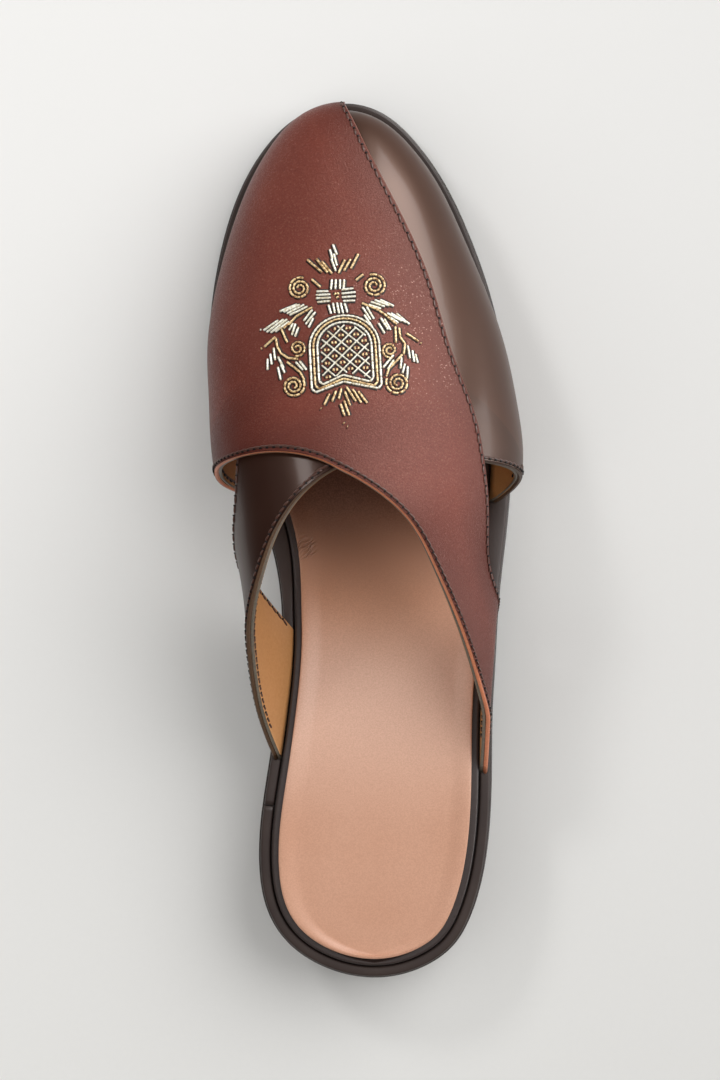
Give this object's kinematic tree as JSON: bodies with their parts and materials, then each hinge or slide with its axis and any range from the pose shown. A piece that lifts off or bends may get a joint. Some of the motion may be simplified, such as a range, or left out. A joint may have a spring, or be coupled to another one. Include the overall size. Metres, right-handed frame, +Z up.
{
  "type": "leather mule",
  "caption": "Flat backless leather mule for the right foot: crossed straps with open side windows, closed toe, low stacked heel and embroidered vamp.",
  "frame": {"origin": "middle of the heel's flat underside, on the floor", "axes": "+Y towards the toe, +Z up, +X towards the outer side of the foot (right shoe)"},
  "size_m": [0.1062, 0.2938, 0.0726],
  "materials": {
    "lift_rubber": "matte, dark brown",
    "stacked_leather": "dark stained stacked leather, polished edge",
    "sole_leather": "dark stained sole leather, satin edge",
    "rand_leather": "dark brown leather strip, satin",
    "rim_leather": "dark brown leather wrapped over the board, satin",
    "sock_leather": "smooth pink-tan lining leather, satin",
    "olive_brown_leather": "polished, burnished olive-brown calf",
    "red_brown_leather": "polished, burnished red-brown calf"
  },
  "bodies": {
    "root": {"top_lift": "lift_rubber", "heel_block": "stacked_leather", "outsole": "sole_leather", "rand": "rand_leather", "insole_board": "rim_leather", "sock": "sock_leather", "upper_under": "olive_brown_leather", "upper_over": "red_brown_leather"}
  },
  "joints": []
}
